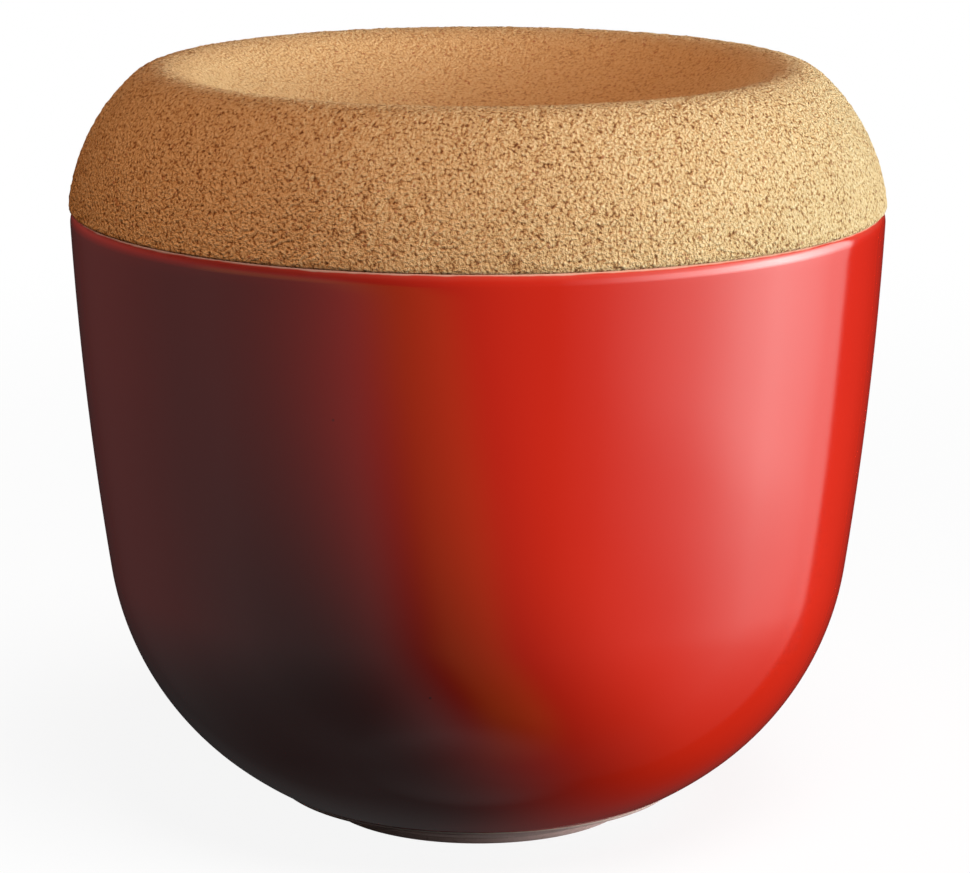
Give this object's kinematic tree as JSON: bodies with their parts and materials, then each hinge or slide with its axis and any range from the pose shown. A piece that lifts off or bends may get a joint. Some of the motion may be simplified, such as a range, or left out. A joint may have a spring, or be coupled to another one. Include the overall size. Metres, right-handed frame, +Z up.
{
  "type": "garlic pot",
  "caption": "Round glazed pot with a bowl-shaped body on a low foot, shut by a broad cork lid that plugs the mouth and is hollowed into a shallow dish on top.",
  "frame": {"origin": "middle of the foot, on the ground", "axes": "+Z up along the axis of the pot and its lid, -Y towards the viewer"},
  "size_m": [0.1446, 0.1446, 0.1349],
  "materials": {
    "glaze": "glossy red glaze over pale clay, bare at the foot",
    "cork": "pressed cork granules, matt and pitted"
  },
  "bodies": {
    "root": {"pot": "glaze", "cork_lid": "cork"}
  },
  "joints": []
}
